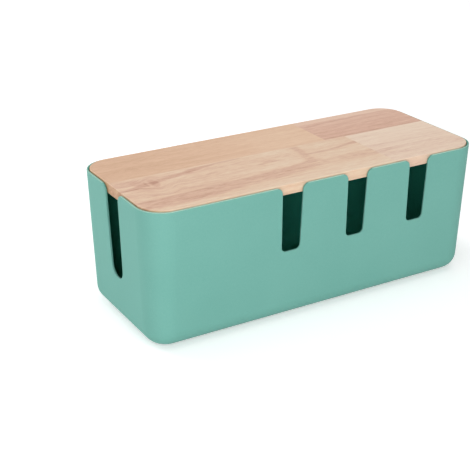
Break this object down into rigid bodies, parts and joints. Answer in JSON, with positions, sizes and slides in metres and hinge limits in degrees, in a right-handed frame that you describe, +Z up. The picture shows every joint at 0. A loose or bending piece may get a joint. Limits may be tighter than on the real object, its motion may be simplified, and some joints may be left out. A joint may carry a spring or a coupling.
{
  "type": "cable management box",
  "caption": "Oblong moulded plastic box that hides a power strip, with open cord slots in the front and left walls and a lift-off lid of glued wooden staves that sits inside the rim.",
  "frame": {"origin": "under the middle of the box, on the surface that its feet stand on", "axes": "+X along the length with the end slot in the wall at -X, -Y out of the wall with the row of slots, +Z up the way the lid lifts"},
  "size_m": [0.305, 0.125, 0.115],
  "materials": {
    "tub_plastic": "mint green moulded plastic, fine matte texture with a soft sheen",
    "wood_tan": "tan hardwood, sanded and satin lacquered",
    "wood_dark": "pink-brown hardwood with fine dark streaks, satin lacquered",
    "wood_rose": "pinkish hardwood with a knot and dark streaks, satin lacquered",
    "wood_pale": "pale hardwood, satin lacquered",
    "foot_rubber": "matte dark grey rubber"
  },
  "bodies": {
    "box": {"box_shell": "tub_plastic", "foot_front_left": "foot_rubber", "foot_front_right": "foot_rubber", "foot_back_left": "foot_rubber", "foot_back_right": "foot_rubber"},
    "lid": {"lid_stave_back_left": "wood_tan", "lid_stave_back_right": "wood_dark", "lid_stave_front_left": "wood_rose", "lid_stave_front_right": "wood_pale"}
  },
  "joints": [
    {"name": "lid_lift", "type": "slide", "parent": "box", "child": "lid", "axis": [0, 0, 1], "range_m": [0, 0.12]}
  ]
}
